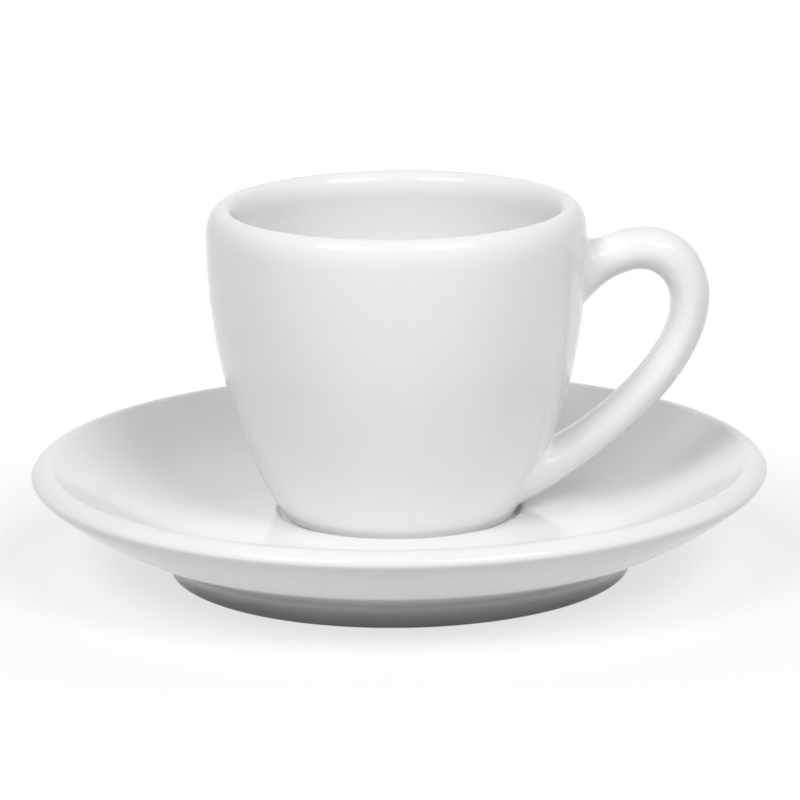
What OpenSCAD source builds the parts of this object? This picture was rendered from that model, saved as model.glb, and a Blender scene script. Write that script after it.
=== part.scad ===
// Espresso cup with saucer, in plain thick-walled porcelain.
// Millimetres, Z up, Z = 0 is the table under the saucer's foot ring.
// The cup's axis is the Z axis and the handle points along +X.

/* [Saucer] */
// Outside diameter of the saucer
saucer_d = 120; // [110:1:140]
// Height of the saucer's lip above the table
saucer_h = 18.3; // [16.5:0.1:22]
// Thickness of the rounded lip
lip_thick = 4.6; // [3.6:0.1:5.4]
// Height of the flat floor around the cup
floor_h = 9.8; // [9:0.1:11]
// Thickness of the saucer under the well
well_thick = 5; // [4.2:0.1:5.4]
// Depth of the well that locates the cup
well_depth = 0.8; // [0.5:0.1:1.2]
// Gap between the cup's base and the edge of the well
well_gap = 0.5; // [0.4:0.1:1.2]
// Outside diameter of the saucer's foot ring
saucer_foot_d = 75.4; // [68:0.2:82]
// Height of the saucer's foot ring, measured outside
saucer_foot_h = 4.2; // [3.4:0.1:4.6]
// Width of the flat that the saucer stands on
saucer_foot_w = 3; // [2:0.1:4]

/* [Cup] */
// Height of the cup from its foot to its rim
cup_h = 51.2; // [46:0.2:58]
// Largest outside diameter, a little below the rim
cup_d = 61.5; // [57:0.5:68]
// Outside diameter where the wall meets the rounded base
base_d = 39.1; // [36:0.1:42]
// Height of the rounding between the cup's foot and its wall
base_round = 1.5; // [1.2:0.1:1.8]
// How far the base rounds in under the wall
base_in = 2.15; // [1.6:0.05:2.6]
// Thickness of the wall
wall = 4; // [3.2:0.1:4.6]
// Thickness of the cup's floor
cup_floor = 4.2; // [3.4:0.1:5.2]
// Height over which the wall rounds in to the rim
rim_h = 4.9; // [4:0.1:6]
// How far the rim's crest stands in from the widest part
rim_in = 2.45; // [2:0.05:2.9]
// Width of the flat that the cup stands on
cup_foot_w = 2.8; // [2:0.1:3.6]
// Depth of the recess inside the cup's foot ring
cup_recess = 1.3; // [0.8:0.1:1.8]

/* [Handle] */
// Reach of the handle beyond the widest part of the cup
handle_reach = 20.1; // [18:0.1:23]
// Distance from the rim down to the middle of the handle's upper root
upper_drop = 10.7; // [10:0.1:13]
// Height of the middle of the handle's lower root above the cup's foot
lower_rise = 7; // [7:0.1:10]
// Rise of the handle from its upper root to its crown
crown_rise = 2.9; // [1.5:0.1:4]
// Thickness of the handle at the top of its loop
handle_thick = 6.9; // [5.8:0.1:7.6]
// Thickness of the handle where it comes down to the base
handle_low_thick = 6.1; // [5.4:0.1:6.8]
// Width of the handle from front to back
handle_w = 7.8; // [6.4:0.1:9]
// Thickness of the slip that joins the handle to the wall
slip = 0.4; // [0.3:0.05:0.6]

/* [Hidden] */

$fn = 96;
white = [0.93, 0.93, 0.92];
slip_white = [0.88, 0.88, 0.86];

// Steps of a long curve, of a short one, around the handle, along its loop and along a flare
long_steps = 18;
short_steps = 7;
ring_steps = 36;
loop_steps = 40;
flare_steps = 7;

// Directions in a half section
outwards = 0;
upwards = 90;
inwards = 180;
downwards = -90;

// A step of a given length in a given direction
function heading(angle, length) = length * [cos(angle), sin(angle)];

// A point on a cubic curve with end points a, d and control points b, c
function curve_point(a, b, c, d, t) =
    pow(1 - t, 3) * a + 3 * pow(1 - t, 2) * t * b + 3 * (1 - t) * t * t * c + pow(t, 3) * d;

// A curve from one point to another that leaves and arrives in given directions. It holds each
// direction for a share of the distance. The first point is left out: it ends the curve before.
function bend(from, leaving, to, arriving, hold, steps) =
    let (
        span = norm(to - from),
        b = from + heading(leaving, hold[0] * span),
        c = to - heading(arriving, hold[1] * span)
    )
    [for (i = [1:steps]) curve_point(from, b, c, to, i / steps)];

// The holds of a quarter circle
quarter = [0.39, 0.39];

// Saucer: half section from the axis outwards over the top, then back along the underside

saucer_r = saucer_d / 2;
saucer_foot_r = saucer_foot_d / 2;
foot_round = 0.6;
well_h = floor_h - well_depth;
well_r = base_d / 2 + well_gap;
under_h = well_h - well_thick;

well_step = 1.7;
well_start = [well_r - well_step * 0.65, well_h];
well_top = [well_r + well_step * 0.35, floor_h];
floor_w = 8;
dish_start = [well_r + floor_w, floor_h];
dish_slope = 31;
dish_hold = [0.525, 0.315];
lip_inner = [saucer_r - lip_thick * 0.97, saucer_h - lip_thick * 0.19];
lip_top = [saucer_r - lip_thick * 0.54, saucer_h];
lip_outer = [saucer_r, saucer_h - lip_thick * 0.43];
lip_inner_hold = [0.46, 0.42];
lip_outer_hold = [0.19, 0.14];

under_slope = 23.8;
under_hold = [0.108, 0.345];
fillet_w = 2.6;
fillet_hold = [0.4, 0.5];
foot_flare = 8;
under_start = [saucer_foot_r + fillet_w, saucer_foot_h];
foot_out = [saucer_foot_r, foot_round];
flat_out = [saucer_foot_r - foot_round, 0];
flat_in = flat_out - [saucer_foot_w, 0];
foot_in = flat_in + [-foot_round, foot_round];
recess_edge = [foot_in.x - 1.5 * fillet_w, under_h];

saucer_section = concat(
    [[0, well_h], well_start],
    bend(well_start, outwards, well_top, outwards, [0.53, 0.42], short_steps),
    [dish_start],
    bend(dish_start, outwards, lip_inner, dish_slope, dish_hold, long_steps),
    bend(lip_inner, dish_slope, lip_top, outwards, lip_inner_hold, short_steps),
    bend(lip_top, outwards, lip_outer, downwards, lip_outer_hold, short_steps),
    bend(lip_outer, downwards, under_start, inwards + under_slope, under_hold, long_steps),
    bend(under_start, inwards + under_slope, foot_out, downwards - foot_flare, fillet_hold, short_steps),
    bend(foot_out, downwards, flat_out, inwards, quarter, short_steps),
    [flat_in],
    bend(flat_in, inwards, foot_in, upwards, quarter, short_steps),
    bend(foot_in, upwards + foot_flare, recess_edge, inwards, fillet_hold, short_steps),
    [[0, under_h]]
);

module saucer() {
    color(white) rotate_extrude() polygon(saucer_section);
}

// Cup: outside of the wall from the foot to the rim, then the inside down to the floor

cup_r = cup_d / 2;
base_r = base_d / 2;
foot_h = well_h;
rim_top = foot_h + cup_h;
cup_foot_r = base_r - base_in;
recess_r = cup_foot_r - cup_foot_w;
recess_h = foot_h + cup_recess;
recess_bevel = 1;

cup_foot = [cup_foot_r, foot_h];
base_point = [base_r, foot_h + base_round];
widest = [cup_r, rim_top - rim_h];
rim_crest = [cup_r - rim_in, rim_top];
inner_start = [cup_r - wall, rim_top - 0.65 * rim_h];
inner_floor = [cup_r / 3, recess_h + cup_floor];
wall_slope = 58.7;
base_hold = [0.44, 0.34];
wall_hold = [0.225, 0.465];
rim_outer_hold = [0.733, 0.116];
rim_inner_hold = [0.253, 0.478];
inner_hold = [0.571, 0.229];

outer_wall = concat(
    [cup_foot],
    bend(cup_foot, outwards, base_point, wall_slope, base_hold, short_steps),
    bend(base_point, wall_slope, widest, upwards, wall_hold, long_steps),
    bend(widest, upwards, rim_crest, inwards, rim_outer_hold, long_steps / 2)
);

inner_wall = concat(
    bend(rim_crest, inwards, inner_start, downwards, rim_inner_hold, short_steps),
    bend(inner_start, downwards, inner_floor, inwards, inner_hold, long_steps),
    [[0, inner_floor.y]]
);

cup_recess_edge = [[0, recess_h], [recess_r - recess_bevel, recess_h], [recess_r, foot_h]];

module cup_bowl() {
    color(white) rotate_extrude() polygon(concat(cup_recess_edge, outer_wall, inner_wall));
}

// The solid within the wall's outer face, grown outwards by a layer
module wall_core(layer) {
    grown = [for (p = outer_wall) p + [layer, 0]];
    rotate_extrude() polygon(concat([[0, foot_h]], grown, [[0, rim_top]]));
}

// Radius of the wall's outer face at a height, and the direction of the face there
function wall_r(z) = lookup(z, [for (p = outer_wall) [p.y, p.x]]);
function wall_angle(z) = atan2(2, wall_r(z + 1) - wall_r(z - 1));

// Handle: a path of three curves in the XZ plane, swept by an oval that flares at both roots

upper_z = rim_top - upper_drop;
lower_z = foot_h + lower_rise;
upper_root = [wall_r(upper_z), upper_z];
lower_root = [wall_r(lower_z), lower_z];
crown = [cup_r + handle_reach * 0.53, upper_z + crown_rise];
outermost = [cup_r + handle_reach - handle_thick / 2, upper_z - 0.156 * (upper_z - lower_z)];
upper_slope = 20.5;
lower_slope = 22.7;
upper_hold = [0.9, 0.46];
turn_hold = [0.32, 0.42];
descent_hold = [0.29, 0.29];

path = concat(
    [upper_root],
    bend(upper_root, upper_slope, crown, outwards, upper_hold, long_steps),
    bend(crown, outwards, outermost, downwards, turn_hold, long_steps),
    bend(outermost, downwards, lower_root, inwards + lower_slope, descent_hold, 2 * long_steps)
);
last = len(path) - 1;
pieces = [for (i = [0:last - 1]) norm(path[i + 1] - path[i])];
lengths = [for (i = 0, sum = 0; i <= last; sum = sum + (i < last ? pieces[i] : 0), i = i + 1) sum];
total = lengths[last];

// Place on the path at a distance along it, and the path's direction there
near = 0.3;
function place(s) = [
    lookup(s, [for (i = [0:last]) [lengths[i], path[i].x]]),
    lookup(s, [for (i = [0:last]) [lengths[i], path[i].y]])
];
function direction(s) =
    let (ahead = place(min(s + near, total)) - place(max(s - near, 0))) atan2(ahead.y, ahead.x);

// Each root: length of its flare, and what the flare adds to half the thickness and half the width
upper_flare = 3.2;
upper_flare_grow = [1.5, 2.6];
lower_flare = 8.5;
lower_flare_grow = [1.1, 7];
// Angle of the quarter-round flare at which it meets the wall
flare_end = 74;
// Each root: length over which the sections lean on to the wall, and their growth on the way
upper_lean = 4.5;
upper_lean_grow = [1.4, 0];
lower_lean = 14;
lower_lean_grow = [2.1, 0.8];
// Depth by which the sweep runs on into the wall, to be cut off there
sink = 1.2;

// Share of a quarter-round flare at a distance from the wall
function flare(d, run) =
    let (nearest = run * (1 - sin(flare_end)), left = 1 - max(d, nearest) / run)
    d >= run ? 0 : 1 - sqrt(1 - left * left);

// Share by which a section leans from square on the path to flat on the wall
function lean(d, run) = pow(max(0, 1 - max(d, 0) / run), 2);

// Distances along the path of the swept sections, closer together in the flares
loop = total - upper_flare - lower_flare;
stations = concat(
    [-sink],
    [for (i = [0:flare_steps]) upper_flare * (1 - sin(flare_end * (1 - i / flare_steps)))],
    [for (i = [1:loop_steps]) upper_flare + loop * i / loop_steps],
    [for (i = [1:flare_steps]) total - lower_flare * (1 - sin(flare_end * i / flare_steps))],
    [total + sink]
);

// Half the thickness along the handle, before the flares. It eases from the crown to the descent.
taper_start = 0.25;
taper_run = 0.4;
function half_thick(s) =
    let (share = min(max((s / total - taper_start) / taper_run, 0), 1), ease = (1 - cos(180 * share)) / 2)
    (handle_thick + (handle_low_thick - handle_thick) * ease) / 2;

// One section: a ring of points around the path, wrapped around the wall at the roots
function section(s) =
    let (
        low_s = total - s,
        lean_up = lean(s, upper_lean),
        lean_low = lean(low_s, lower_lean),
        square = direction(s) + upwards,
        tilt = square + lean_up * (wall_angle(upper_z) - square)
            + lean_low * (wall_angle(lower_z) - inwards - square),
        half = [half_thick(s), handle_w / 2]
            + flare(s, upper_flare) * upper_flare_grow + lean_up * upper_lean_grow
            + flare(low_s, lower_flare) * lower_flare_grow + lean_low * lower_lean_grow,
        middle = place(s) + [min(s, 0) + min(low_s, 0), 0]
    )
    [for (i = [0:ring_steps - 1])
        let (
            turn = 360 * i / ring_steps,
            y = half[1] * cos(turn),
            p = middle + heading(tilt, half[0] * sin(turn)),
            wrap = max(lean_up, lean_low) * (sqrt(p.x * p.x - y * y) - p.x)
        )
        [p.x + wrap, y, p.y]];

module handle_sweep() {
    rings = [for (s = stations) section(s)];
    count = len(rings);
    middles = [for (ring = [rings[0], rings[count - 1]]) (ring[0] + ring[ring_steps / 2]) / 2];
    centre = count * ring_steps;
    end = centre - ring_steps;
    around = [for (i = [0:ring_steps - 1]) [i, (i + 1) % ring_steps]];
    sides = [for (k = [0:count - 2]) for (pair = around)
        let (a = pair[0] + k * ring_steps, b = pair[1] + k * ring_steps)
        each [[a, b, a + ring_steps], [b, b + ring_steps, a + ring_steps]]];
    first_cap = [for (pair = around) [centre, pair[1], pair[0]]];
    end_cap = [for (pair = around) [centre + 1, end + pair[0], end + pair[1]]];
    polyhedron([for (ring = rings) each ring, each middles], [each sides, each first_cap, each end_cap]);
}

// A block that holds only the upper or only the lower end of the handle
split_z = (upper_z + lower_z) / 2;
module half_space(up) {
    translate([0, -cup_r, up ? split_z : 0]) cube([cup_d, cup_d, up ? rim_top : split_z]);
}

module slip_layer(up) {
    intersection() {
        handle_sweep();
        difference() {
            wall_core(slip);
            wall_core(0);
        }
        half_space(up);
    }
}

module cup_handle() {
    color(white) difference() {
        handle_sweep();
        wall_core(slip);
    }
}

module upper_slip_joint() {
    color(slip_white) slip_layer(true);
}

module lower_slip_joint() {
    color(slip_white) slip_layer(false);
}

saucer();
cup_bowl();
cup_handle();
upper_slip_joint();
lower_slip_joint();
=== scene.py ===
"""Espresso cup with saucer: the glazed porcelain pieces, and the studio they are shown in."""

import math

import bpy
from bpy.props import FloatProperty, FloatVectorProperty, PointerProperty
from mathutils import Matrix, Vector


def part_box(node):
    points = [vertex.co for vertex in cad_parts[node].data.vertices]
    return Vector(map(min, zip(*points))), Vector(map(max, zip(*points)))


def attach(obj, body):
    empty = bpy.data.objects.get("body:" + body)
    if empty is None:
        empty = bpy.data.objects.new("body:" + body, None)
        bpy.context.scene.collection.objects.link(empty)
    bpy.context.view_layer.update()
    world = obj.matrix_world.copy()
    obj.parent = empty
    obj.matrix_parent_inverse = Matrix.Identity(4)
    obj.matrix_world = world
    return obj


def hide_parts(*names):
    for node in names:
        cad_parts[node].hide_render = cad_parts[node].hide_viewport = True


bl_info = {
    "name": "Espresso Cup with Saucer",
    "version": (1, 0, 0),
    "blender": (4, 5, 0),
    "location": "View3D > Sidebar > Porcelain",
    "description": "Makes a glazed espresso cup and its saucer, and a plain studio around them",
    "category": "Object",
}

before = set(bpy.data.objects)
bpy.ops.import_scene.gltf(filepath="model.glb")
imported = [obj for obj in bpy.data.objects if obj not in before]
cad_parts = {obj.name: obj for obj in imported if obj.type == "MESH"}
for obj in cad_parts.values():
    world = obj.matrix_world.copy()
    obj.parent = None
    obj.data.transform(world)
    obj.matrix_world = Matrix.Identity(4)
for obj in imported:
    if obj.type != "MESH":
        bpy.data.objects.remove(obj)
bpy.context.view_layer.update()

MM = 0.001
SAUCER_LOW, SAUCER_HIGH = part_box("saucer")
BOWL_LOW, BOWL_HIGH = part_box("cup_bowl")
HANDLE_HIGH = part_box("cup_handle")[1]

# Directions in a half section, in degrees: the first axis points away from the cup's axis
OUTWARDS, UPWARDS, INWARDS, DOWNWARDS = 0.0, 90.0, 180.0, -90.0
# A hold: the shares of a curve's span over which it keeps its first and its last direction
QUARTER_HOLD = (0.39, 0.39)
# Tints: what is added to the red, green and blue of a grey
NO_TINT, COOL_TINT = (0.0, 0.0, 0.0), (-0.004, 0.0, 0.004)
WARM_TINT, CLAY_TINT = (0.004, 0.0, -0.006), (0.012, 0.0, -0.02)


# Sizes and colours


def length(name, description, metres):
    """A size in metres."""
    return FloatProperty(
        name=name, description=description, default=metres, min=0.0, unit="LENGTH", precision=5
    )


def angle(name, description, degrees):
    """An angle, written here in degrees."""
    radians = math.radians(degrees)
    return FloatProperty(name=name, description=description, default=radians, subtype="ANGLE")


def colour(name, description, grey, tint=NO_TINT):
    """A colour near a grey."""
    default = [grey + share for share in tint]
    return FloatVectorProperty(
        name=name, description=description, default=default, min=0.0, max=1.0, subtype="COLOR"
    )


def power(name, description, watts):
    """The power of a lamp in watts."""
    return FloatProperty(name=name, description=description, default=watts, min=0.0, unit="POWER")


class SaucerSizes(bpy.types.PropertyGroup):
    """Sizes of the saucer."""

    diameter: length("Diameter", "Outside diameter of the saucer", SAUCER_HIGH.y - SAUCER_LOW.y)
    height: length("Height", "Height of the lip above the table", SAUCER_HIGH.z)
    lip: length("Lip", "Thickness of the rounded lip", 4.6 * MM)
    floor: length("Floor", "Height of the flat floor around the cup", 9.8 * MM)
    floor_width: length("Floor Width", "Width of the flat floor from the well to the dish", 8 * MM)
    well_depth: length("Well Depth", "Depth of the well that the cup stands in", 0.8 * MM)
    well_radius: length("Well Radius", "Radius of the well's edge", 20.05 * MM)
    well_step: length("Well Step", "Width over which the well's edge rises", 1.7 * MM)
    well_thickness: length("Well Thickness", "Thickness of the saucer under the well", 5 * MM)
    foot_diameter: length("Foot Diameter", "Outside diameter of the foot ring", 75.4 * MM)
    foot_height: length("Foot Height", "Height of the foot ring, measured outside", 5.4 * MM)
    foot_width: length("Foot Width", "Width of the flat that the saucer stands on", 3 * MM)
    foot_round: length("Foot Rounding", "Rounding of the foot ring's edges", 0.6 * MM)
    foot_fillet: length("Foot Fillet", "Width of the fillet above the foot ring", 4.8 * MM)


class BowlSizes(bpy.types.PropertyGroup):
    """Sizes of the cup without its handle."""

    diameter: length(
        "Diameter", "Largest outside diameter, a little below the rim", BOWL_HIGH.y - BOWL_LOW.y
    )
    foot: length("Foot", "Height of the cup's foot above the table", BOWL_LOW.z)
    top: length("Top", "Height of the rim above the table", BOWL_HIGH.z)
    base_diameter: length("Base Diameter", "Diameter where wall and rounded base meet", 39.1 * MM)
    base_round: length("Base Rounding", "Height of the rounding between foot and wall", 1.25 * MM)
    base_in: length("Base Inset", "How far the base rounds in under the wall", 1.35 * MM)
    wall: length("Wall", "Thickness of the wall below the rim", 4.9 * MM)
    floor: length("Floor", "Thickness of the cup's floor", 4.2 * MM)
    rim_height: length("Rim Height", "Height over which the wall rounds in to the rim", 4.9 * MM)
    rim_in: length("Rim Inset", "How far the rim's crest stands in from the widest part", 2.45 * MM)
    rim_depth: length("Rim Depth", "Depth over which the rim rounds down to the inside", 4 * MM)
    foot_width: length("Foot Width", "Width of the flat that the cup stands on", 2.8 * MM)
    recess: length("Recess", "Depth of the recess inside the foot ring", 1.3 * MM)


class HandleSizes(bpy.types.PropertyGroup):
    """Sizes of the handle and of the joints that hold it to the cup."""

    reach: length(
        "Reach", "Distance of the handle's outermost point from the cup's axis", HANDLE_HIGH.x
    )
    upper_drop: length(
        "Upper Root", "Distance from the rim down to the middle of the upper root", 10.7 * MM
    )
    lower_rise: length(
        "Lower Root", "Height of the middle of the lower root above the cup's foot", 6.15 * MM
    )
    crown_rise: length("Crown", "Rise of the handle from its upper root to its crown", 2.98 * MM)
    thickness: length("Thickness", "Thickness at the crown", 6.67 * MM)
    swell: length("Swell", "How much thicker the handle is in the bend behind the crown", 0.42 * MM)
    low_thickness: length("Low Thickness", "Thickness on the way down to the base", 5.99 * MM)
    width: length("Width", "Width from front to back", 8.8 * MM)
    slip: length("Slip", "Thickness of the slip that joins the handle to the wall", 0.4 * MM)


class GlazeLook(bpy.types.PropertyGroup):
    """Colours and surface of the porcelain."""

    white: colour("Glaze White", "Colour of the glaze on a plain wall", 0.90)
    pooled: colour(
        "Pooled Glaze", "Colour where the glaze runs together and is thick", 0.85, COOL_TINT
    )
    # Painted shade: a dark colour round the saucer's foot ring, standing for the shade under the
    # saucer
    foot: colour(
        "Painted Foot Shade", "Painted shade round the saucer's foot ring", 0.56, COOL_TINT
    )
    thin: colour("Thin Glaze", "Colour where the glaze is thin over an edge", 0.90, WARM_TINT)
    bare: colour("Bare Body", "Colour of the unglazed foot rings", 0.77, CLAY_TINT)
    gloss: FloatProperty(
        name="Gloss Roughness",
        description="Roughness of the glaze",
        default=0.13,
        min=0.0,
        max=1.0,
        subtype="FACTOR",
    )
    peel: length("Orange Peel", "Height of the fine ripple in the glaze", 0.004 * MM)
    wave: length("Waviness", "Height of the slow waviness of the fired wall", 0.03 * MM)


class StudioSetup(bpy.types.PropertyGroup):
    """Camera, lamps and floor."""

    camera_back: length("Camera Distance", "Distance of the camera from the axis", 733.0 * MM)
    camera_up: length("Camera Height", "Height of the camera above the table", 207.8 * MM)
    camera_side: length("Camera Offset", "How far the camera stands to the right", 0.28 * MM)
    camera_pitch: angle("Camera Pitch", "How far the camera looks down", 13.81)
    camera_roll: angle("Camera Roll", "How far the camera leans", -0.66)
    camera_lens: FloatProperty(
        name="Lens", description="Focal length in millimetres", default=208.45, min=1.0
    )
    softbox: power("Softboxes", "Power of each of the two softboxes", 13.0)
    bank: power("Banks", "Power of each of the two broad lights below the softboxes", 20.0)
    rear: power("Rear Lights", "Power of each of the two lights behind the cup, at its sides", 5.4)
    floor_white: colour("Floor", "Colour of the floor", 0.70)
    shadow_near: length("Shadow", "Distance from the axis where the shadow starts to fade", 62 * MM)
    shadow_far: length("Shadow End", "Distance from the axis where the floor is white", 115 * MM)


class EspressoSet(bpy.types.PropertyGroup):
    """All settings of the cup, its saucer and the studio."""

    saucer: PointerProperty(type=SaucerSizes)
    bowl: PointerProperty(type=BowlSizes)
    handle: PointerProperty(type=HandleSizes)
    glaze: PointerProperty(type=GlazeLook)
    studio: PointerProperty(type=StudioSetup)


# Curves of the half sections


def heading(degrees, distance):
    """A step of a given length in a given direction."""
    return Vector((math.cos(math.radians(degrees)), math.sin(math.radians(degrees)))) * distance


def bend(start, leaving, end, arriving, hold, steps):
    """A curve from one point to another that holds its first and last direction for a share of
    the distance. The first point is left out: it ends the curve before."""
    span = (end - start).length
    near = start + heading(leaving, hold[0] * span)
    far = end - heading(arriving, hold[1] * span)
    points = []
    for step in range(1, steps + 1):
        t = step / steps
        u = 1.0 - t
        points.append(u**3 * start + 3 * u * u * t * near + 3 * u * t * t * far + t**3 * end)
    return points


def straight(start, end, steps):
    """Points on a straight line, without the first."""
    return [start.lerp(end, step / steps) for step in range(1, steps + 1)]


# Steps of a long and of a short curve
LONG, SHORT = 44, 16

# Saucer: slopes in degrees, then holds
DISH_SLOPE, UNDER_SLOPE, FOOT_FLARE = 31.0, 20.0, 8.0
WELL_HOLD, DISH_HOLD = (0.53, 0.42), (0.525, 0.315)
LIP_INNER_HOLD, LIP_OUTER_HOLD = (0.46, 0.42), (0.34, 0.26)
UNDER_HOLD, FILLET_HOLD = (0.08, 0.40), (0.36, 0.36)
# Share of the well's step that lies inside the well's radius
STEP_INSIDE = 0.65
# Points of the lip, in from the rim and down from the top, as shares of its thickness
LIP_INNER_IN, LIP_INNER_DROP, LIP_TOP_IN, LIP_OUTER_DROP = 0.97, 0.19, 0.54, 0.40


def saucer_section(sizes):
    """Half section of the saucer: from the axis outwards over the top, then back underneath."""
    radius, foot_radius = sizes.diameter / 2, sizes.foot_diameter / 2
    well = sizes.floor - sizes.well_depth
    under = well - sizes.well_thickness
    centre = Vector((0.0, well))
    well_start = Vector((sizes.well_radius - STEP_INSIDE * sizes.well_step, well))
    well_top = Vector((well_start.x + sizes.well_step, sizes.floor))
    dish_start = Vector((sizes.well_radius + sizes.floor_width, sizes.floor))
    rim = Vector((radius, sizes.height))
    lip_inner = rim - Vector((LIP_INNER_IN, LIP_INNER_DROP)) * sizes.lip
    lip_top = rim - Vector((LIP_TOP_IN, 0.0)) * sizes.lip
    lip_outer = rim - Vector((0.0, LIP_OUTER_DROP)) * sizes.lip
    under_start = Vector((foot_radius + sizes.foot_fillet, sizes.foot_height))
    under_slope = INWARDS + UNDER_SLOPE
    foot_out = Vector((foot_radius, sizes.foot_round))
    flat_out = Vector((foot_radius - sizes.foot_round, 0.0))
    flat_in = flat_out - Vector((sizes.foot_width, 0.0))
    foot_in = flat_in + Vector((-sizes.foot_round, sizes.foot_round))
    recess_edge = Vector((foot_in.x - sizes.foot_fillet, under))
    return (
        [centre]
        + straight(centre, well_start, SHORT)
        + bend(well_start, OUTWARDS, well_top, OUTWARDS, WELL_HOLD, SHORT)
        + straight(well_top, dish_start, SHORT)
        + bend(dish_start, OUTWARDS, lip_inner, DISH_SLOPE, DISH_HOLD, LONG)
        + bend(lip_inner, DISH_SLOPE, lip_top, OUTWARDS, LIP_INNER_HOLD, SHORT)
        + bend(lip_top, OUTWARDS, lip_outer, DOWNWARDS, LIP_OUTER_HOLD, SHORT)
        + bend(lip_outer, DOWNWARDS, under_start, under_slope, UNDER_HOLD, LONG)
        + bend(under_start, under_slope, foot_out, DOWNWARDS - FOOT_FLARE, FILLET_HOLD, SHORT)
        + bend(foot_out, DOWNWARDS, flat_out, INWARDS, QUARTER_HOLD, SHORT // 2)
        + straight(flat_out, flat_in, SHORT // 4)
        + bend(flat_in, INWARDS, foot_in, UPWARDS, QUARTER_HOLD, SHORT // 2)
        + bend(foot_in, UPWARDS + FOOT_FLARE, recess_edge, INWARDS, FILLET_HOLD, SHORT)
        + straight(recess_edge, Vector((0.0, under)), SHORT)
    )


# Bowl: the wall's slope at the base in degrees, then holds
WALL_SLOPE = 58.7
BASE_HOLD, WALL_HOLD = (0.44, 0.34), (0.225, 0.465)
RIM_OUTER_HOLD, RIM_INNER_HOLD, INNER_HOLD = (0.733, 0.116), (0.44, 0.30), (0.571, 0.229)
RECESS_BEVEL = 1 * MM
# Share of the largest radius over which the floor inside is flat
FLAT_INSIDE = 1 / 3


def outer_wall(sizes):
    """Outside of the cup's wall, from the foot up to the rim's crest."""
    radius = sizes.diameter / 2
    foot = Vector((sizes.base_diameter / 2 - sizes.base_in, sizes.foot))
    base = Vector((sizes.base_diameter / 2, sizes.foot + sizes.base_round))
    widest = Vector((radius, sizes.top - sizes.rim_height))
    crest = Vector((radius - sizes.rim_in, sizes.top))
    return (
        [foot]
        + bend(foot, OUTWARDS, base, WALL_SLOPE, BASE_HOLD, SHORT)
        + bend(base, WALL_SLOPE, widest, UPWARDS, WALL_HOLD, 2 * LONG)
        + bend(widest, UPWARDS, crest, INWARDS, RIM_OUTER_HOLD, 2 * SHORT)
    )


def bowl_section(sizes):
    """Half section of the cup: up the inside from the axis, over the rim and down the outside."""
    radius = sizes.diameter / 2
    wall = outer_wall(sizes)
    foot, crest = wall[0], wall[-1]
    recess = sizes.foot + sizes.recess
    centre = Vector((0.0, recess))
    recess_edge = Vector((foot.x - sizes.foot_width - RECESS_BEVEL, recess))
    foot_in = Vector((foot.x - sizes.foot_width, sizes.foot))
    inner_start = Vector((radius - sizes.wall, sizes.top - sizes.rim_depth))
    inner_floor = Vector((radius * FLAT_INSIDE, recess + sizes.floor))
    upwards = (
        [centre]
        + straight(centre, recess_edge, SHORT)
        + bend(recess_edge, OUTWARDS, foot_in, DOWNWARDS, QUARTER_HOLD, SHORT // 2)
        + straight(foot_in, foot, SHORT // 4)
        + wall[1:]
        + bend(crest, INWARDS, inner_start, DOWNWARDS, RIM_INNER_HOLD, 2 * SHORT)
        + bend(inner_start, DOWNWARDS, inner_floor, INWARDS, INNER_HOLD, 2 * LONG)
        + straight(inner_floor, Vector((0.0, inner_floor.y)), SHORT)
    )
    return upwards[::-1]


def wall_radius(wall, height):
    """Radius of the cup's outside at a height."""
    for low, high in zip(wall, wall[1:]):
        if low.y <= height <= high.y and high.y > low.y:
            return low.x + (high.x - low.x) * (height - low.y) / (high.y - low.y)
    raise ValueError("the height is not on the cup's wall")


# Nodes


class Value:
    """A node's output that takes part in Python expressions, in a material or in a shape."""

    def __init__(self, socket):
        self.socket = socket

    @staticmethod
    def node(tree, kind, settings=None, inputs=None, output=0):
        """Adds a node: its type, its settings, and the values or links of its sockets."""
        made = tree.nodes.new(kind)
        for name, setting in (settings or {}).items():
            setattr(made, name, setting)
        for key, given in (inputs or {}).items():
            socket = made.inputs[key]
            if isinstance(given, Value):
                tree.links.new(given.socket, socket)
            else:
                socket.default_value = given
        return Value(made.outputs[output]) if made.outputs else None

    def beside(self, output):
        """Another output of the same node."""
        return Value(self.socket.node.outputs[output])

    def math(self, operation, *others, first=None):
        """A Math node on this value and others."""
        terms = [self, *others] if first is None else [first, self]
        inputs = dict(enumerate(terms))
        return Value.node(self.socket.id_data, "ShaderNodeMath", {"operation": operation}, inputs)

    def __add__(self, other):
        return self.math("ADD", other)

    __radd__ = __add__

    def __mul__(self, other):
        return self.math("MULTIPLY", other)

    __rmul__ = __mul__

    def __sub__(self, other):
        return self.math("SUBTRACT", other)

    def __rsub__(self, other):
        return self.math("SUBTRACT", first=other)

    def __truediv__(self, other):
        return self.math("DIVIDE", other)

    def __rtruediv__(self, other):
        return self.math("DIVIDE", first=other)

    def __pow__(self, other):
        return self.math("POWER", other)

    def __neg__(self):
        return self.math("MULTIPLY", -1.0)

    def ramp(self, low, high):
        """Eases from 0 to 1 as this value goes from low to high."""
        return Value.node(
            self.socket.id_data,
            "ShaderNodeMapRange",
            {"interpolation_type": "SMOOTHSTEP"},
            {"Value": self, "From Min": low, "From Max": high},
        )


# Sockets of a Mix node that belong to colours
MIX_SHARE, MIX_FIRST, MIX_SECOND, MIX_RESULT = 0, 6, 7, 2


def blend_colours(share, first, second):
    """A Mix node on two colours."""
    inputs = {MIX_SHARE: share}
    for key, given in ((MIX_FIRST, first), (MIX_SECOND, second)):
        inputs[key] = given if isinstance(given, Value) else (*given, 1.0)
    return Value.node(
        share.socket.id_data, "ShaderNodeMix", {"data_type": "RGBA"}, inputs, MIX_RESULT
    )


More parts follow.
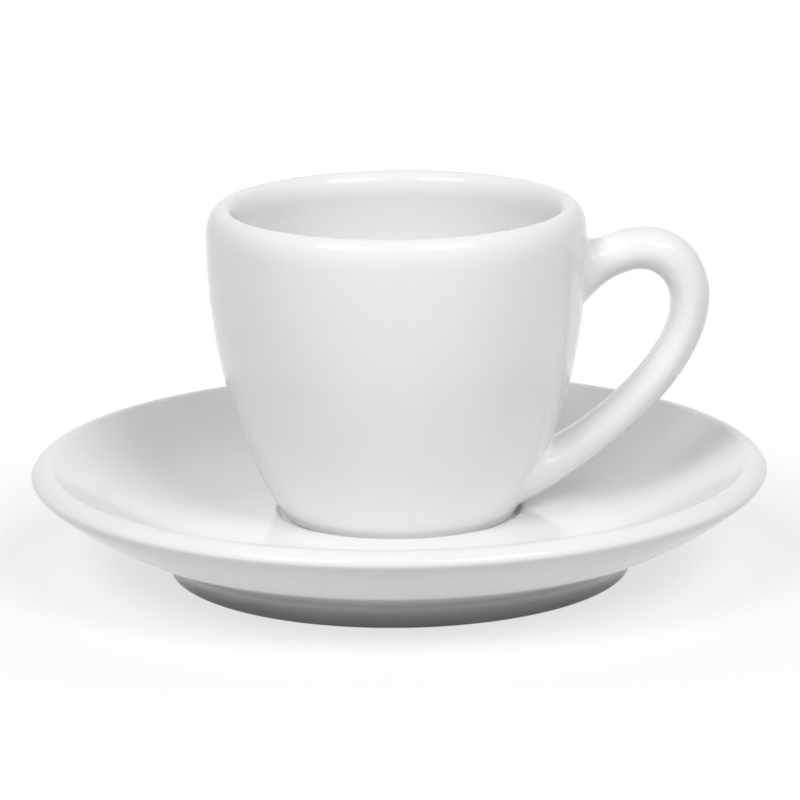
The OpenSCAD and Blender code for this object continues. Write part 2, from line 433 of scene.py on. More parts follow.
def axes(vector):
    """The X, Y and Z of a vector."""
    x = Value.node(vector.socket.id_data, "ShaderNodeSeparateXYZ", None, {0: vector})
    return x, x.beside("Y"), x.beside("Z")


# Shapes from rules: a section turned round the axis, and an oval that follows a path


def shape_tree(name, inputs):
    """An empty geometry tree with a geometry input and output, and its named inputs by kind."""
    tree = bpy.data.node_groups.new(name, "GeometryNodeTree")
    tree.interface.new_socket("Geometry", in_out="INPUT", socket_type="NodeSocketGeometry")
    for label, kind in inputs.items():
        tree.interface.new_socket(label, in_out="INPUT", socket_type="NodeSocket" + kind)
    tree.interface.new_socket("Geometry", in_out="OUTPUT", socket_type="NodeSocketGeometry")
    return tree, Value.node(tree, "NodeGroupInput")


def store(geometry, name, value, kind="FLOAT_VECTOR"):
    """Keeps a value on each point of a shape under a name."""
    return Value.node(
        geometry.socket.id_data,
        "GeometryNodeStoreNamedAttribute",
        {"data_type": kind, "domain": "POINT"},
        {"Geometry": geometry, "Name": name, "Value": value},
    )


def recall(tree, name, kind="FLOAT_VECTOR"):
    """Reads a value that is kept under a name."""
    return Value.node(tree, "GeometryNodeInputNamedAttribute", {"data_type": kind}, {"Name": name})


def marked_ring(points):
    """A circle of so many points, each of which keeps how far round it is, as an angle."""
    tree = points.socket.id_data
    inputs = {"Resolution": points, "Radius": 1.0}
    circle = Value.node(tree, "GeometryNodeCurvePrimitiveCircle", None, inputs)
    share = Value.node(tree, "GeometryNodeSplineParameter")
    return store(circle, "turn", share * math.tau, "FLOAT")


def carry(profile, path):
    """A profile carried along a path."""
    inputs = {"Curve": path, "Profile Curve": profile}
    return Value.node(path.socket.id_data, "GeometryNodeCurveToMesh", None, inputs)


def put(geometry, x, y, z):
    """Moves each point of a shape to a place."""
    tree = geometry.socket.id_data
    place = Value.node(tree, "ShaderNodeCombineXYZ", None, {"X": x, "Y": y, "Z": z})
    inputs = {"Geometry": geometry, "Position": place}
    return Value.node(tree, "GeometryNodeSetPosition", None, inputs)


def finish_tree(geometry, material):
    """Ends a tree: smooth faces, real geometry and the material."""
    tree = geometry.socket.id_data
    smooth = Value.node(tree, "GeometryNodeSetShadeSmooth", None, {"Geometry": geometry})
    real = Value.node(tree, "GeometryNodeRealizeInstances", None, {"Geometry": smooth})
    inputs = {"Geometry": real, "Material": material}
    done = Value.node(tree, "GeometryNodeSetMaterial", None, inputs)
    Value.node(tree, "NodeGroupOutput", None, {0: done})


def turning_tree():
    """A half section turned round the Z axis, as on a potter's wheel."""
    inputs = {"Segments": "Int", "Weld": "Float", "Glaze": "Material"}
    tree, section = shape_tree("Turn on the Wheel", inputs)
    curve = Value.node(tree, "GeometryNodeMeshToCurve", None, {"Mesh": section})
    outline = store(curve, "section", Value.node(tree, "GeometryNodeInputPosition"))
    wheel = marked_ring(section.beside("Segments"))
    skin = carry(outline, wheel)
    radius, _, height = axes(recall(tree, "section"))
    turn = recall(tree, "turn", "FLOAT")
    turned = put(skin, radius * turn.math("COSINE"), radius * turn.math("SINE"), height)
    inputs = {"Geometry": turned, "Distance": section.beside("Weld")}
    welded = Value.node(tree, "GeometryNodeMergeByDistance", None, inputs)
    finish_tree(welded, section.beside("Glaze"))
    return tree


def pulling_tree():
    """An oval pulled along a path, laid on the cup's wall at both ends. The wall near each root is
    given by its radius, its slope and its curvature at the root's height."""
    inputs = {
        "Ring Points": "Int",
        "Upper Wall": "Vector",
        "Upper Height": "Float",
        "Lower Wall": "Vector",
        "Lower Height": "Float",
        "Glaze": "Material",
    }
    tree, path = shape_tree("Pull along the Path", inputs)
    curve = Value.node(tree, "GeometryNodeMeshToCurve", None, {"Mesh": path})
    spine = store(curve, "middle", Value.node(tree, "GeometryNodeInputPosition"))
    skin = carry(marked_ring(path.beside("Ring Points")), spine)
    turn = recall(tree, "turn", "FLOAT")
    thick, wide, full = axes(recall(tree, "half"))
    inputs = {0: recall(tree, "across"), "Scale": thick * turn.math("SINE")}
    along = Value.node(tree, "ShaderNodeVectorMath", {"operation": "SCALE"}, inputs)
    inputs = {0: recall(tree, "middle"), 1: along}
    x, _, z = axes(Value.node(tree, "ShaderNodeVectorMath", {"operation": "ADD"}, inputs))
    inner = ((1 - turn.math("SINE")) / 2) ** 2
    side = wide * turn.math("COSINE") * (1 + full * inner)
    hug_upper, hug_lower, _ = axes(recall(tree, "hug"))
    for root, share in (("Upper", hug_upper), ("Lower", hug_lower)):
        start, slope, curvature = axes(path.beside(root + " Wall"))
        rise = z - path.beside(root + " Height")
        line = start + slope * rise
        radius = line + curvature * rise * rise
        x = x + share * ((radius * radius - side * side).math("SQRT") - line)
    finish_tree(put(skin, x, side, z), path.beside("Glaze"))
    return tree


def polyline(name, points):
    """An object whose mesh is one open line through points of the XZ plane."""
    mesh = bpy.data.meshes.new(name)
    edges = [(index, index + 1) for index in range(len(points) - 1)]
    mesh.from_pydata([(point.x, 0.0, point.y) for point in points], edges, [])
    made = bpy.data.objects.new(name, mesh)
    bpy.context.scene.collection.objects.link(made)
    return made


def grow(made, tree, values):
    """Runs a tree on an object and keeps the result as its plain mesh."""
    modifier = made.modifiers.new("Shape", "NODES")
    modifier.node_group = tree
    for item in tree.interface.items_tree:
        if item.in_out == "INPUT" and item.name in values:
            modifier[item.identifier] = values[item.name]
    depsgraph = bpy.context.evaluated_depsgraph_get()
    shaped = bpy.data.meshes.new_from_object(made.evaluated_get(depsgraph), depsgraph=depsgraph)
    made.modifiers.remove(modifier)
    line, made.data = made.data, shaped
    bpy.data.meshes.remove(line)
    shaped.name = made.name
    return made


def drop_attributes(mesh, names):
    """Takes the working values off a finished mesh."""
    for name in names:
        mesh.attributes.remove(mesh.attributes[name])


# Steps round the axis, and the distance up to which points on it are joined
TURN_SEGMENTS = 240
WELD = 0.0005 * MM


def turned_piece(name, section, material):
    """A piece turned on the wheel."""
    values = {"Segments": TURN_SEGMENTS, "Weld": WELD, "Glaze": material}
    made = grow(polyline(name, section), turning_tree(), values)
    drop_attributes(made.data, ("section", "turn"))
    return made


# Handle: a path of three curves, an oval along it, and flares at both roots

# The path's slopes at the wall in degrees, then holds
UPPER_SLOPE, LOWER_SLOPE = 25.3, 30.0
UPPER_HOLD, TURN_HOLD, DESCENT_HOLD = (0.745, 0.188), (0.416, 0.355), (0.348, 0.128)
# The crown's place as a share of the reach, and the outermost point's as a share of the drop
CROWN_SHARE, OUTERMOST_SHARE = 0.464, 0.154
# Roots: reach and growth of the flare on the inner side, on the outer side and in width, then the
# reach of the lean, what it adds to the same three, and the fullness of the inner side
UPPER_ROOT = {
    "inner": (3.2 * MM, 1.5 * MM),
    "outer": (3.2 * MM, 1.5 * MM),
    "side": (3.2 * MM, 2.3 * MM),
    "lean": 4.5 * MM,
    "lean_grow": (1.0 * MM, 1.0 * MM, 0.0),
    "fullness": 0.0,
}
LOWER_ROOT = {
    "inner": (4.0 * MM, 1.0 * MM),
    "outer": (2.8 * MM, 0.0),
    "side": (16 * MM, 3.1 * MM),
    "lean": 20 * MM,
    "lean_grow": (0.2 * MM, 0.0, 2.4 * MM),
    "fullness": 0.45,
}
# Shares of the path: where the handle thins out to the descent, and where its bend is thickest
TAPER_START, TAPER_RUN = 0.28, 0.19
SWELL_PLACE, SWELL_RUN = 0.2245, 0.054
# Where a flare's quarter round stops short of the wall, in degrees
FLARE_END = 88.0
FLARE_STEPS, SLIP_STEPS, LOOP_STEPS, RING_POINTS = 18, 8, 130, 96
# How deep the slip sits in the wall, and how far above and below a root the wall is measured
SINK = 0.25 * MM
WALL_PROBE = 4 * MM


class Flare:
    """A quarter round at a root: its reach along the handle, and what it adds at the wall."""

    def __init__(self, reach, growth):
        self.reach, self.growth = reach, growth

    def share(self, distance):
        """Share of the flare at a distance along the path."""
        nearest = self.reach * (1 - math.sin(math.radians(FLARE_END)))
        left = 1 - max(distance, nearest) / self.reach
        return 0.0 if distance >= self.reach else 1 - math.sqrt(1 - left * left)

    def at(self, distance):
        """What the flare adds at a distance along the path."""
        return self.share(distance) * self.growth


class Root:
    """One end of the handle: its place on the wall and how the handle flares out to it, on the
    inner side of the loop, on its outer side and in width."""

    def __init__(self, wall, height, inner, outer, side, lean, lean_grow, fullness):
        self.height = height
        self.radius = wall_radius(wall, height)
        above = wall_radius(wall, height + WALL_PROBE)
        below = wall_radius(wall, height - WALL_PROBE)
        self.slope = (above - below) / (2 * WALL_PROBE)
        self.curve = (above + below - 2 * self.radius) / (2 * WALL_PROBE**2)
        self.angle = math.degrees(math.atan2(1.0, self.slope))
        self.point = Vector((self.radius, height))
        self.flares = Flare(*inner), Flare(*outer), Flare(*side)
        self.lean, self.lean_grow = lean, Vector(lean_grow)
        self.fullness = fullness

    def wall(self):
        """Radius, slope and curvature of the wall here."""
        return self.radius, self.slope, self.curve

    def lean_share(self, distance):
        """Share by which a section leans from square on the path to flat on the wall."""
        return max(0.0, 1 - max(distance, 0.0) / self.lean) ** 2

    def growth(self, distance):
        """What the flare and the lean add to the inner side, the outer side and half the width."""
        flares = Vector([flare.at(distance) for flare in self.flares])
        return flares + self.lean_share(distance) * self.lean_grow

    def full(self, distance):
        """How much fuller a section is on the inner side."""
        return self.fullness * self.flares[2].share(distance)

    def stations(self, slip):
        """Distances from the wall: through the slip, then on to the end of the flare."""
        reach = self.flares[2].reach
        slip_turn = math.degrees(math.asin(1 - slip / reach))
        through = slip_turn - FLARE_END
        turns = [FLARE_END + through * step / SLIP_STEPS for step in range(SLIP_STEPS + 1)]
        turns += [slip_turn * (1 - step / FLARE_STEPS) for step in range(1, FLARE_STEPS + 1)]
        return [-SINK] + [reach * (1 - math.sin(math.radians(turn))) for turn in turns]


class HandlePath:
    """The middle line of the handle, from the upper root over the crown to the lower root."""

    def __init__(self, sizes, bowl):
        wall = outer_wall(bowl)
        self.sizes = sizes
        self.upper = Root(wall, bowl.top - sizes.upper_drop, **UPPER_ROOT)
        self.lower = Root(wall, bowl.foot + sizes.lower_rise, **LOWER_ROOT)
        cup_radius = bowl.diameter / 2
        reach = sizes.reach - cup_radius
        top, drop = self.upper.height, self.upper.height - self.lower.height
        crown = Vector((cup_radius + reach * CROWN_SHARE, top + sizes.crown_rise))
        outermost = Vector((sizes.reach - sizes.thickness / 2, top - OUTERMOST_SHARE * drop))
        arriving = INWARDS + LOWER_SLOPE
        self.points = (
            [self.upper.point]
            + bend(self.upper.point, UPPER_SLOPE, crown, OUTWARDS, UPPER_HOLD, 2 * LONG)
            + bend(crown, OUTWARDS, outermost, DOWNWARDS, TURN_HOLD, 2 * LONG)
            + bend(outermost, DOWNWARDS, self.lower.point, arriving, DESCENT_HOLD, 4 * LONG)
        )
        self.distances = [0.0]
        for near, far in zip(self.points, self.points[1:]):
            self.distances.append(self.distances[-1] + (far - near).length)
        self.total = self.distances[-1]

    def place(self, distance):
        """The point at a distance along the path."""
        for index in range(1, len(self.points)):
            if distance <= self.distances[index] or index == len(self.points) - 1:
                near, far = self.distances[index - 1], self.distances[index]
                share = (distance - near) / (far - near)
                return self.points[index - 1].lerp(self.points[index], share)

    def direction(self, distance):
        """The path's direction at a distance along it, in degrees."""
        step = self.total / (4 * LONG)
        ahead = self.place(min(distance + step, self.total)) - self.place(max(distance - step, 0.0))
        return math.degrees(math.atan2(ahead.y, ahead.x))

    def half_thickness(self, distance):
        """Half the thickness before the flares: it swells in the bend and thins to the descent."""
        sizes, along = self.sizes, distance / self.total
        share = min(max((along - TAPER_START) / TAPER_RUN, 0.0), 1.0)
        eased = (1 - math.cos(math.pi * share)) / 2
        thinned = (sizes.thickness - sizes.low_thickness) * eased
        swell = sizes.swell * math.exp(-(((along - SWELL_PLACE) / SWELL_RUN) ** 2))
        return (sizes.thickness + swell - thinned) / 2

    def stations(self):
        """Distances of the sections along the path, closer together in the flares."""
        upper = self.upper.stations(self.sizes.slip)
        lower = [self.total - distance for distance in self.lower.stations(self.sizes.slip)]
        start, end = upper[-1], lower[-1]
        loop = [start + (end - start) * step / LOOP_STEPS for step in range(1, LOOP_STEPS)]
        return upper + loop + lower[::-1]

    def section(self, distance):
        """One section: its middle, its in-plane direction, its half sizes with its fullness on the
        inner side, and how far it hugs the wall at the upper and at the lower root."""
        left, on_path = self.total - distance, min(max(distance, 0.0), self.total)
        hug_upper, hug_lower = self.upper.lean_share(distance), self.lower.lean_share(left)
        square = self.direction(on_path) + UPWARDS
        lean = hug_upper * (self.upper.angle - square)
        lean += hug_lower * (self.lower.angle - INWARDS - square)
        across = heading(square + lean, 1.0)
        inner, outer, side = self.upper.growth(distance) + self.lower.growth(left)
        thick = self.half_thickness(distance) / math.cos(math.radians(lean)) + (inner + outer) / 2
        wide = self.sizes.width / 2 + side
        full = self.upper.full(distance) + self.lower.full(left)
        sunk = Vector((min(distance, 0.0) + min(left, 0.0), 0.0))
        middle = self.place(on_path) + sunk - (inner - outer) / 2 * across
        return middle, (across.x, 0.0, across.y), (thick, wide, full), (hug_upper, hug_lower, 0.0)


def pulled_handle(path, material):
    """The whole handle as rings of points and their normals, in order along the path."""
    stations = path.stations()
    sections = [path.section(distance) for distance in stations]
    made = polyline("handle_pull", [section[0] for section in sections])
    for name, column in (("across", 1), ("half", 2), ("hug", 3)):
        layer = made.data.attributes.new(name, "FLOAT_VECTOR", "POINT")
        numbers = [number for section in sections for number in section[column]]
        layer.data.foreach_set("vector", numbers)
    order = made.data.attributes.new("station", "INT", "POINT")
    order.data.foreach_set("value", list(range(len(sections))))
    values = {
        "Ring Points": RING_POINTS,
        "Upper Wall": path.upper.wall(),
        "Upper Height": path.upper.height,
        "Lower Wall": path.lower.wall(),
        "Lower Height": path.lower.height,
        "Glaze": material,
    }
    mesh = grow(made, pulling_tree(), values).data
    rings = [[None] * RING_POINTS for _ in sections]
    station, turn = mesh.attributes["station"].data, mesh.attributes["turn"].data
    for vertex, normal in zip(mesh.vertices, mesh.vertex_normals):
        spot = round(turn[vertex.index].value / math.tau * RING_POINTS) % RING_POINTS
        rings[station[vertex.index].value][spot] = (vertex.co.copy(), normal.vector.copy())
    bpy.data.objects.remove(made)
    bpy.data.meshes.remove(mesh)
    return rings


def cut_from_pull(name, rings, material):
    """One piece of the pulled handle: its skin keeps the whole handle's normals, so that no seam
    shows where the pieces meet, and both ends are closed."""
    count = len(rings[0])
    points = [point for ring in rings for point, _ in ring]
    normals = [normal for ring in rings for _, normal in ring]
    faces = []
    for low in range(0, (len(rings) - 1) * count, count):
        for spot in range(count):
            beside = (spot + 1) % count
            faces.append((low + spot, low + beside, low + count + beside, low + count + spot))
    corner, ahead, _, above = (points[spot] for spot in faces[0])
    around = (ahead - corner).cross(above - corner)
    inside_out = around.dot(normals[0] + normals[count]) < 0
    last = (len(rings) - 1) * count
    for first, ring, flip in ((0, rings[0], False), (last, rings[-1], True)):
        centre = sum((point for point, _ in ring), Vector()) / count
        points.append(centre)
        for spot in range(count):
            face = (len(points) - 1, first + (spot + 1) % count, first + spot)
            faces.append(face[::-1] if flip else face)
    if inside_out:
        faces = [face[::-1] for face in faces]
    mesh = bpy.data.meshes.new(name)
    mesh.from_pydata(points, [], faces)
    mesh.materials.append(material)
    mesh.shade_smooth()
    corner_normals = []
    for face in mesh.polygons:
        on_skin = len(face.vertices) > 3
        for vertex in face.vertices:
            corner_normals.append(normals[vertex] if on_skin else face.normal.copy())
    mesh.normals_split_custom_set(corner_normals)
    made = bpy.data.objects.new(name, mesh)
    bpy.context.scene.collection.objects.link(made)
    return made


# Porcelain

# Sizes of the glaze's slow clouds and fine ripples, and of the grain of the bare body
CLOUD_SIZE, RIPPLE_SIZE, GRAIN_SIZE = 16 * MM, 2.2 * MM, 0.25 * MM
PLAIN_DETAIL, GRAIN_DETAIL = 2.0, 4.0
NOISE_MIDDLE = 0.5
# Clouds: the part of the noise that shades the colour, and how far it does
CLOUD_LOW, CLOUD_HIGH, CLOUD_SHADE = 0.3, 0.7, 0.35
CLOUD_ROUGHNESS, RIPPLE_ROUGHNESS = 0.05, 0.03
# Share of a pool's colour that the clouds leave alone
POOL_LEAST = 0.6
# Bare rings: how far their edge wanders, the width of its fade, and half the height of its fade
BARE_WANDER, BARE_FADE, BARE_RISE = 0.25 * MM, 0.2 * MM, 0.1 * MM
BARE_SHARE, BARE_SPECKLE = 0.85, 0.3
BARE_ROUGHNESS, BARE_GRAIN = 0.72, 0.02 * MM
GLAZE_IOR = 1.5


def noise(place, size, detail=PLAIN_DETAIL):
    """A noise whose features are about a given size across."""
    inputs = {"Vector": place, "Scale": 1.0 / size, "Detail": detail}
    return Value.node(place.socket.id_data, "ShaderNodeTexNoise", None, inputs)


def porcelain(name, look, bare=None, pooled=(), thin=None):
    """Glazed porcelain. The glaze is wavy and lightly rippled, thick and greyer where it pools,
    and thin over an edge. A foot ring is bare: matt, and grainy under the light. Each darker ring
    is given by its radius and height, its spread and its colour; the rings are pools of thick
    glaze, and on the saucer also a painted shade round the foot ring. The thin zone is given by
    the heights where it starts and is full, and the bare ring by its two radii and its top."""
    material = bpy.data.materials.new(name)
    material.use_nodes = True
    tree = material.node_tree
    tree.nodes.clear()
    place = Value.node(tree, "ShaderNodeTexCoord", output="Object")
    x, y, z = axes(place)
    radius = (x * x + y * y).math("SQRT")
    cloud = noise(place, CLOUD_SIZE)
    ripple = noise(place, RIPPLE_SIZE)

    shade = cloud.ramp(CLOUD_LOW, CLOUD_HIGH) * CLOUD_SHADE
    white = blend_colours(shade, look.white, look.pooled)
    # Darker rings: pools of thick glaze, and on the saucer's foot ring a painted shade
    for ring_radius, ring_height, spread, tone in pooled:
        across, up = (radius - ring_radius) / spread, (z - ring_height) / spread
        pool = (-(across * across + up * up)).math("EXPONENT")
        pool = pool * (POOL_LEAST + (1.0 - POOL_LEAST) * cloud)
        white = blend_colours(pool, white, tone)
    if thin is not None:
        white = blend_colours((z + cloud * MM).ramp(*thin), white, look.thin)
    rough = look.gloss + (cloud - NOISE_MIDDLE) * CLOUD_ROUGHNESS
    rough = rough + (ripple - NOISE_MIDDLE) * RIPPLE_ROUGHNESS
    height = ripple * look.peel + cloud * look.wave
    if bare is not None:
        inner, outer, top = bare
        grain = noise(place, GRAIN_SIZE, GRAIN_DETAIL)
        edge = (ripple - NOISE_MIDDLE) * BARE_WANDER
        away = radius + edge
        ring = away.ramp(inner, inner + BARE_FADE) * (1 - away.ramp(outer - BARE_FADE, outer))
        bisque = ring * (1 - (z + edge).ramp(top - BARE_RISE, top + BARE_RISE))
        speckle = BARE_SHARE + BARE_SPECKLE * (grain - NOISE_MIDDLE)
        white = blend_colours(bisque * speckle, white, look.bare)
        rough = rough + bisque * (BARE_ROUGHNESS - rough)
        height = height + bisque * grain * BARE_GRAIN

    inputs = {"Strength": 1.0, "Distance": 1.0, "Height": height}
    bump = Value.node(tree, "ShaderNodeBump", None, inputs)
    inputs = {"Base Color": white, "Roughness": rough, "IOR": GLAZE_IOR, "Normal": bump}
    shader = Value.node(tree, "ShaderNodeBsdfPrincipled", None, inputs)
    Value.node(tree, "ShaderNodeOutputMaterial", None, {"Surface": shader})
    return material


def settings():
    """The settings of this scene."""
    return bpy.context.scene.espresso_set


# Saucer: spread of the pool at the well's edge, height and spread of the painted shade round the
# foot ring, and how far up the foot ring is bare
WELL_SPREAD = 1.2 * MM
PAINTED_FOOT_SHADE_HEIGHT, PAINTED_FOOT_SHADE_SPREAD = 0.6 * MM, 4.8 * MM
SAUCER_BARE_TOP = 0.25 * MM
# Bowl: radius and spread of the pool inside, how far the bare ring goes past the flat inwards,
# outwards and upwards, and where the glaze thins below the rim and would be thinnest above it
FLOOR_POOL_RADIUS, FLOOR_SPREAD = 10 * MM, 4 * MM
CUP_BARE_IN, CUP_BARE_OUT, CUP_BARE_TOP = 0.1 * MM, 0.4 * MM, 0.2 * MM
THIN_BELOW, THIN_ABOVE = 1.6 * MM, 0.6 * MM


class ESPRESSO_OT_saucer(bpy.types.Operator):
    """Makes the saucer with its lip, well and foot ring"""

    bl_idname = "espresso_set.saucer"
    bl_label = "Saucer"

    def execute(self, context):
        sizes, look = settings().saucer, settings().glaze
        foot_radius = sizes.foot_diameter / 2
        foot_out = foot_radius - sizes.foot_round / 2
        foot_in = foot_out - sizes.foot_round - sizes.foot_width
        bare = (foot_in, foot_out, SAUCER_BARE_TOP)
        well = (sizes.well_radius, sizes.floor - sizes.well_depth / 2, WELL_SPREAD, look.pooled)
        # Painted shade: a dark ring round the foot ring stands for the shade under the saucer's
        # overhang
        foot = (foot_radius, PAINTED_FOOT_SHADE_HEIGHT, PAINTED_FOOT_SHADE_SPREAD, look.foot)
        material = porcelain("Saucer Glaze", look, bare, (well, foot))
        made = turned_piece("saucer_porcelain", saucer_section(sizes), material)
        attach(made, "saucer_body")
        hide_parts("saucer")
        return {"FINISHED"}


class ESPRESSO_OT_bowl(bpy.types.Operator):
    """Makes the cup's bowl with its rim and foot ring"""

    bl_idname = "espresso_set.bowl"
    bl_label = "Cup Bowl"

    def execute(self, context):
        sizes, look = settings().bowl, settings().glaze
        foot_out = sizes.base_diameter / 2 - sizes.base_in
        foot_in = foot_out - sizes.foot_width
        bare = (foot_in - CUP_BARE_IN, foot_out + CUP_BARE_OUT, sizes.foot + CUP_BARE_TOP)
        floor = sizes.foot + sizes.recess + sizes.floor
        pool = (FLOOR_POOL_RADIUS, floor, FLOOR_SPREAD, look.pooled)
        thin = (sizes.top - THIN_BELOW, sizes.top + THIN_ABOVE)
        material = porcelain("Cup Glaze", look, bare, (pool,), thin)
        made = turned_piece("cup_bowl_porcelain", bowl_section(sizes), material)
        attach(made, "cup_body")
        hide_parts("cup_bowl")
        return {"FINISHED"}


class ESPRESSO_OT_handle(bpy.types.Operator):
    """Makes the pulled handle and the two slip joints that hold it to the cup"""

    bl_idname = "espresso_set.handle"
    bl_label = "Handle and Slip Joints"

    def execute(self, context):
        path = HandlePath(settings().handle, settings().bowl)
        handle_glaze = porcelain("Handle Glaze", settings().glaze)
        joint_glaze = porcelain("Joint Glaze", settings().glaze)
        rings = pulled_handle(path, handle_glaze)
        low, high = SLIP_STEPS + 1, len(rings) - 2 - SLIP_STEPS
        upper, loop, lower = rings[: low + 1], rings[low : high + 1], rings[high:]
        for name, node, slot, material, part in (
            ("upper_joint_porcelain", "upper_slip_joint", "joint_glaze", joint_glaze, upper),
            ("cup_handle_porcelain", "cup_handle", "handle_glaze", handle_glaze, loop),
            ("lower_joint_porcelain", "lower_slip_joint", "joint_glaze", joint_glaze, lower),
        ):
            made = cut_from_pull(name, part, material)
            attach(made, "cup_body")
            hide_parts(node)
        return {"FINISHED"}


# Studio

# What the lamps face, how far they stand from it, and half the side of the floor, in metres
MIDDLE = Vector((0.0, 0.0, 0.03))
LAMP_DISTANCE = 2.5
FLOOR_HALF = 4.0
# Share of plain white in the floor under the saucer
FLOOR_GLOW = 0.7
WHITE = (1.0, 1.0, 1.0)
SENSOR_WIDTH = 36.0
# Lamps: the turn to the right of the camera and the rise in degrees, the width and height in
# metres, and the setting that holds the power
LAMPS = (
    ("Left Softbox", -43.0, 52.0, 1.1, 0.6, "softbox"),
    ("Right Softbox", 39.0, 52.0, 1.1, 0.6, "softbox"),
    ("Left Bank", -35.0, 40.0, 1.0, 0.6, "bank"),
    ("Right Bank", 35.0, 40.0, 1.0, 0.6, "bank"),
    ("Left Rear Light", -120.0, 45.0, 1.0, 0.6, "rear"),
    ("Right Rear Light", 120.0, 45.0, 1.0, 0.6, "rear"),
)


def camera_rays(tree):
    """1 for what the camera sees, also by reflection or through glass, and 0 for other light."""
    path = Value.node(tree, "ShaderNodeLightPath", output="Is Camera Ray")
    seen = path.math("MAXIMUM", path.beside("Is Glossy Ray"))
    return seen.math("MAXIMUM", path.beside("Is Transmission Ray"))


def soft_lamp(name, place, aim, width, height, watts):
    """A soft lamp that faces a point."""
    lamp = bpy.data.lights.new(name, "AREA")
    lamp.shape = "RECTANGLE"
    lamp.size, lamp.size_y = width, height
    lamp.energy = watts
    made = bpy.data.objects.new(name, lamp)
    made.location = place
    made.rotation_euler = (Vector(aim) - Vector(place)).to_track_quat("-Z", "Y").to_euler()
    bpy.context.scene.collection.objects.link(made)
    return made


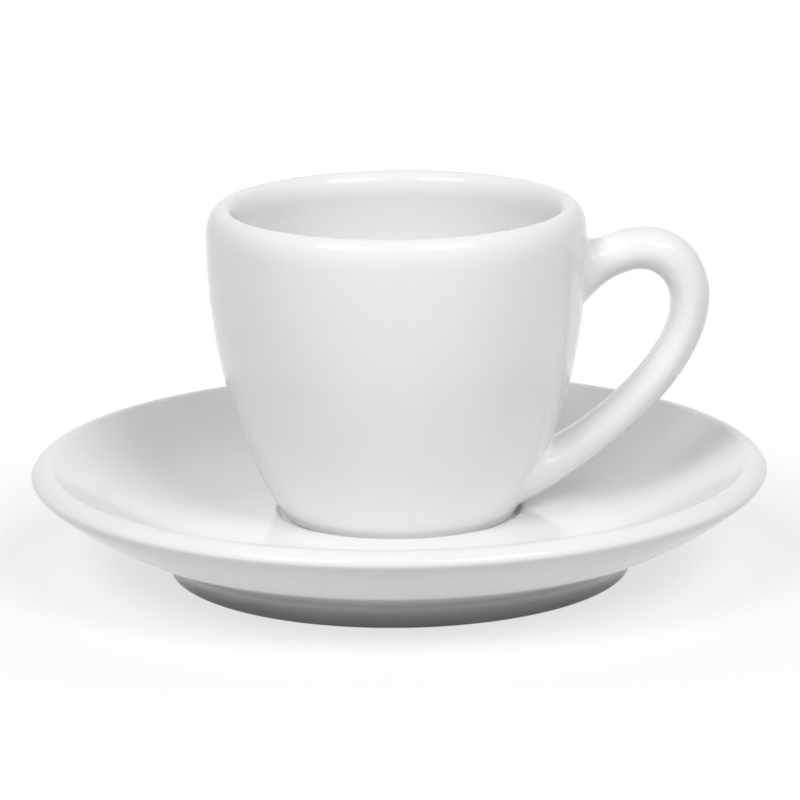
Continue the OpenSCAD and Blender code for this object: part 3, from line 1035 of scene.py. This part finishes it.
class ESPRESSO_OT_studio(bpy.types.Operator):
    """Makes the floor, the lamps, the room's light and the camera"""

    bl_idname = "espresso_set.studio"
    bl_label = "Studio"

    def execute(self, context):
        setup = settings().studio
        self.floor(setup)
        self.room()
        self.lamps(setup)
        self.camera(setup)
        bpy.context.scene.view_settings.view_transform = "Standard"
        return {"FINISHED"}

    def floor(self, setup):
        """A floor that shows the saucer's shadow and turns white away from it."""
        mesh = bpy.data.meshes.new("studio_floor")
        signs = ((-1, -1), (1, -1), (1, 1), (-1, 1))
        corners = [(FLOOR_HALF * right, FLOOR_HALF * back, 0.0) for right, back in signs]
        mesh.from_pydata(corners, [], [(0, 1, 2, 3)])
        made = bpy.data.objects.new("studio_floor", mesh)
        bpy.context.scene.collection.objects.link(made)
        material = bpy.data.materials.new("Studio Floor")
        material.use_nodes = True
        tree = material.node_tree
        tree.nodes.clear()
        place = Value.node(tree, "ShaderNodeTexCoord", output="Object")
        operation = {"operation": "LENGTH"}
        away = Value.node(tree, "ShaderNodeVectorMath", operation, {0: place}, "Value")
        seen = camera_rays(tree)
        fade = away.ramp(setup.shadow_near, setup.shadow_far)
        share = seen * (FLOOR_GLOW + (1.0 - FLOOR_GLOW) * fade)
        paint = blend_colours(seen, setup.floor_white, WHITE)
        matt = Value.node(tree, "ShaderNodeBsdfDiffuse", None, {"Color": paint})
        inputs = {"Color": (*WHITE, 1.0), "Strength": 1.0}
        white = Value.node(tree, "ShaderNodeEmission", None, inputs)
        shown = Value.node(tree, "ShaderNodeMixShader", None, {0: share, 1: matt, 2: white})
        Value.node(tree, "ShaderNodeOutputMaterial", None, {"Surface": shown})
        mesh.materials.append(material)

    def room(self):
        """A room that looks white, also in the glaze, and lights nothing else."""
        world = bpy.data.worlds.new("Studio Room")
        world.use_nodes = True
        tree = world.node_tree
        tree.nodes.clear()
        inputs = {"Color": (*WHITE, 1.0), "Strength": camera_rays(tree)}
        white = Value.node(tree, "ShaderNodeBackground", None, inputs)
        Value.node(tree, "ShaderNodeOutputWorld", None, {"Surface": white})
        bpy.context.scene.world = world

    def lamps(self, setup):
        """Pairs of soft lamps round the cup. Only the softboxes show as highlights."""
        for name, turn, rise, width, height, group in LAMPS:
            level = heading(turn - UPWARDS, math.cos(math.radians(rise)))
            away = Vector((level.x, level.y, math.sin(math.radians(rise))))
            place = MIDDLE + LAMP_DISTANCE * away
            made = soft_lamp(name, place, MIDDLE, width, height, getattr(setup, group))
            made.visible_glossy = group == "softbox"

    def camera(self, setup):
        """The camera in front of the cup, pitched down and leaning a little."""
        lens = bpy.data.cameras.new("Camera")
        lens.lens = setup.camera_lens
        lens.sensor_width = SENSOR_WIDTH
        lens.sensor_fit = "HORIZONTAL"
        made = bpy.data.objects.new("Camera", lens)
        ahead = Vector((0.0, math.cos(setup.camera_pitch), -math.sin(setup.camera_pitch)))
        level = Vector((1.0, 0.0, 0.0))
        upright = level.cross(ahead)
        cosine, sine = math.cos(setup.camera_roll), math.sin(setup.camera_roll)
        right, up = cosine * level + sine * upright, cosine * upright - sine * level
        turn = Matrix((right, up, -ahead)).transposed()
        place = (setup.camera_side, -setup.camera_back, setup.camera_up)
        made.matrix_world = Matrix.Translation(place) @ turn.to_4x4()
        bpy.context.scene.collection.objects.link(made)
        bpy.context.scene.camera = made


class ESPRESSO_PT_set(bpy.types.Panel):
    """Lists the pieces and their settings"""

    bl_label = "Espresso Set"
    bl_idname = "ESPRESSO_PT_set"
    bl_space_type = "VIEW_3D"
    bl_region_type = "UI"
    bl_category = "Porcelain"

    def draw(self, context):
        layout = self.layout
        chosen = context.scene.espresso_set
        for operator, group in (
            (ESPRESSO_OT_saucer, chosen.saucer),
            (ESPRESSO_OT_bowl, chosen.bowl),
            (ESPRESSO_OT_handle, chosen.handle),
            (None, chosen.glaze),
            (ESPRESSO_OT_studio, chosen.studio),
        ):
            box = layout.box()
            if operator is not None:
                box.operator(operator.bl_idname)
            for name in group.__annotations__:
                box.prop(group, name)


CLASSES = (
    SaucerSizes,
    BowlSizes,
    HandleSizes,
    GlazeLook,
    StudioSetup,
    EspressoSet,
    ESPRESSO_OT_saucer,
    ESPRESSO_OT_bowl,
    ESPRESSO_OT_handle,
    ESPRESSO_OT_studio,
    ESPRESSO_PT_set,
)


def register():
    """Adds the classes and the settings to Blender."""
    for each in CLASSES:
        bpy.utils.register_class(each)
    bpy.types.Scene.espresso_set = PointerProperty(type=EspressoSet)


def unregister():
    """Takes the settings and the classes out of Blender again."""
    del bpy.types.Scene.espresso_set
    for each in reversed(CLASSES):
        bpy.utils.unregister_class(each)


def main():
    """Makes the set and the studio."""
    register()
    bpy.ops.espresso_set.saucer()
    bpy.ops.espresso_set.bowl()
    bpy.ops.espresso_set.handle()
    bpy.ops.espresso_set.studio()


if __name__ == "__main__":
    main()
